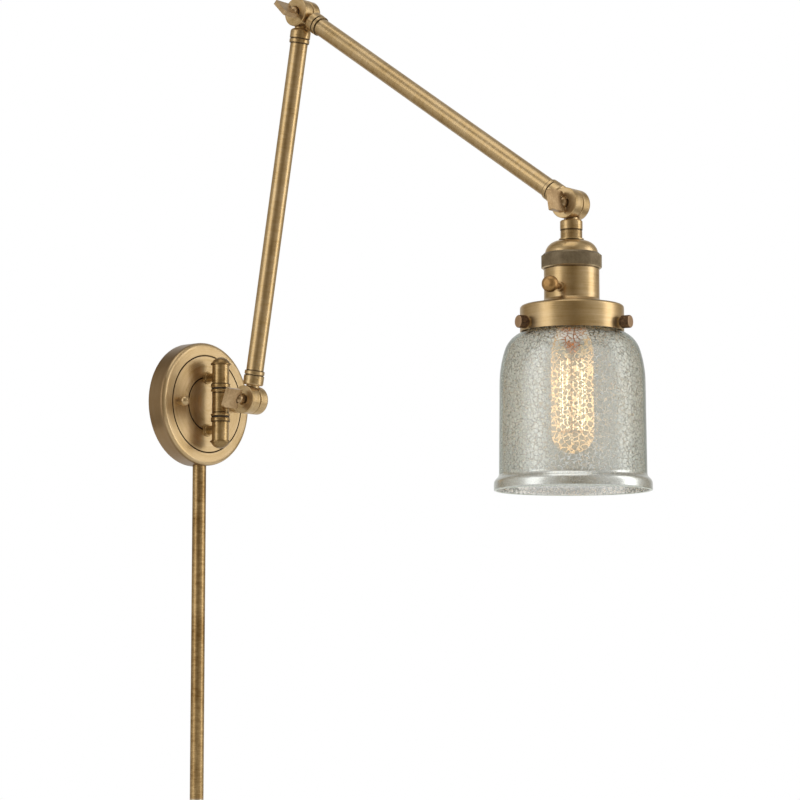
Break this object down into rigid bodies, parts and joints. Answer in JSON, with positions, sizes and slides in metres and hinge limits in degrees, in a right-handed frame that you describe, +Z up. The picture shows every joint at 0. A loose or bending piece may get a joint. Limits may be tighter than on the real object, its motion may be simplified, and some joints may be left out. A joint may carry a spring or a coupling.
{
  "type": "swing arm wall light",
  "caption": "Swing-arm wall light: a round wall plate, a swivelling post, two hinged tube arms and a turn-switch lampholder with a bell shade of crackled mirror glass.",
  "frame": {"origin": "middle of the back of the mounting strap and wall plate, on the wall", "axes": "+Y into the wall, so the light stands out along -Y; +X along the wall; +Z up"},
  "size_m": [0.1294, 0.5005, 0.7284],
  "materials": {
    "aged_brass": "brushed antique brass, satin",
    "zinc_steel": "zinc plated steel",
    "dark_washer": "dark oiled washer",
    "ring_bronze": "finely knurled, greyed brass",
    "screw_bronze": "darkened brass with rubbed ends",
    "phenolic": "moulded dark phenolic",
    "bright_brass": "pressed bright brass",
    "mercury_glass": "blown glass with a crackled silver lining",
    "cap_metal": "pressed screw cap",
    "bulb_glass": "clear, faintly amber",
    "stem_glass": "glass stem that mirrors the copper leads",
    "filament_wire": "wire, glowing when lit"
  },
  "bodies": {
    "wall_base": {"backplate": "aged_brass", "mounting_strap": "zinc_steel", "mounting_screws": "zinc_steel", "ball_nuts": "aged_brass", "upper_bracket": "aged_brass", "lower_bracket": "aged_brass", "bracket_nuts": "zinc_steel", "hinge_pin": "zinc_steel", "post_washers": "dark_washer", "post_finials": "aged_brass", "cord_cover_tube": "aged_brass", "cover_nut": "zinc_steel", "cover_bushing": "aged_brass"},
    "swing_knuckle": {"knuckle": "aged_brass", "base_swivel_near": "aged_brass"},
    "base_wing": {"base_wing_screw": "aged_brass"},
    "lower_arm": {"base_swivel_far": "aged_brass", "lower_foot_cup": "aged_brass", "lower_tube": "aged_brass", "lower_head_cup": "aged_brass", "elbow_swivel_near": "aged_brass"},
    "elbow_wing": {"elbow_wing_screw": "aged_brass"},
    "upper_arm": {"elbow_swivel_far": "aged_brass", "upper_foot_cup": "aged_brass", "upper_tube": "aged_brass", "upper_head_cup": "aged_brass", "head_swivel_near": "aged_brass"},
    "head_wing": {"head_wing_screw": "aged_brass"},
    "lamp_head": {"head_swivel_far": "aged_brass", "head_coupling": "aged_brass", "dome_cap": "aged_brass", "socket_ring": "ring_bronze", "socket_shell": "aged_brass", "insulator": "phenolic", "screw_shell": "bright_brass", "centre_contact": "bright_brass", "fitter": "aged_brass", "shade_ring": "aged_brass", "glass_bell": "mercury_glass", "bulb_cap": "cap_metal", "bulb_glass": "bulb_glass", "bulb_stem": "stem_glass", "filament_mount": "filament_wire", "filament": "filament_wire"},
    "switch": {"switch_knob": "aged_brass"},
    "shade_screw_1": {"fitter_screw_1": "screw_bronze"},
    "shade_screw_2": {"fitter_screw_2": "screw_bronze"},
    "shade_screw_3": {"fitter_screw_3": "screw_bronze"}
  },
  "joints": [
    {"name": "swing", "type": "hinge", "parent": "wall_base", "child": "swing_knuckle", "pos_m": [0, -0.036, 0], "axis": [0, 0, 1], "range_deg": [-50, 80]},
    {"name": "lower_arm_tilt", "type": "hinge", "parent": "swing_knuckle", "child": "lower_arm", "pos_m": [0, -0.0745, 0], "axis": [1, 0, 0], "range_deg": [-15, 80]},
    {"name": "elbow", "type": "hinge", "parent": "lower_arm", "child": "upper_arm", "pos_m": [0, -0.13676, 0.3495], "axis": [-1, 0, 0], "range_deg": [-2, 115]},
    {"name": "head_tilt", "type": "hinge", "parent": "upper_arm", "child": "lamp_head", "pos_m": [0, -0.43583, 0.13852], "axis": [-1, 0, 0], "range_deg": [-45, 90]},
    {"name": "base_wing_turn", "type": "hinge", "parent": "swing_knuckle", "child": "base_wing", "pos_m": [0, -0.0745, 0], "axis": [-1, 0, 0], "range_deg": [-30, 330]},
    {"name": "elbow_wing_turn", "type": "hinge", "parent": "lower_arm", "child": "elbow_wing", "pos_m": [0, -0.13676, 0.3495], "axis": [-1, 0, 0], "range_deg": [-30, 330]},
    {"name": "head_wing_turn", "type": "hinge", "parent": "upper_arm", "child": "head_wing", "pos_m": [0, -0.43583, 0.13852], "axis": [-1, 0, 0], "range_deg": [-30, 330]},
    {"name": "switch_turn", "type": "hinge", "parent": "lamp_head", "child": "switch", "pos_m": [0, -0.43583, 0.06702], "axis": [-0.9848, -0.1736, 0], "continuous": true},
    {"name": "shade_screw_1_turn", "type": "hinge", "parent": "lamp_head", "child": "shade_screw_1", "pos_m": [0, -0.43583, 0.03752], "axis": [-0.9397, 0.342, 0], "range_deg": [-30, 330]},
    {"name": "shade_screw_2_turn", "type": "hinge", "parent": "lamp_head", "child": "shade_screw_2", "pos_m": [0, -0.43583, 0.03752], "axis": [0.1736, -0.9848, 0], "range_deg": [-30, 330]},
    {"name": "shade_screw_3_turn", "type": "hinge", "parent": "lamp_head", "child": "shade_screw_3", "pos_m": [0, -0.43583, 0.03752], "axis": [0.766, 0.6428, 0], "range_deg": [-30, 330]}
  ]
}
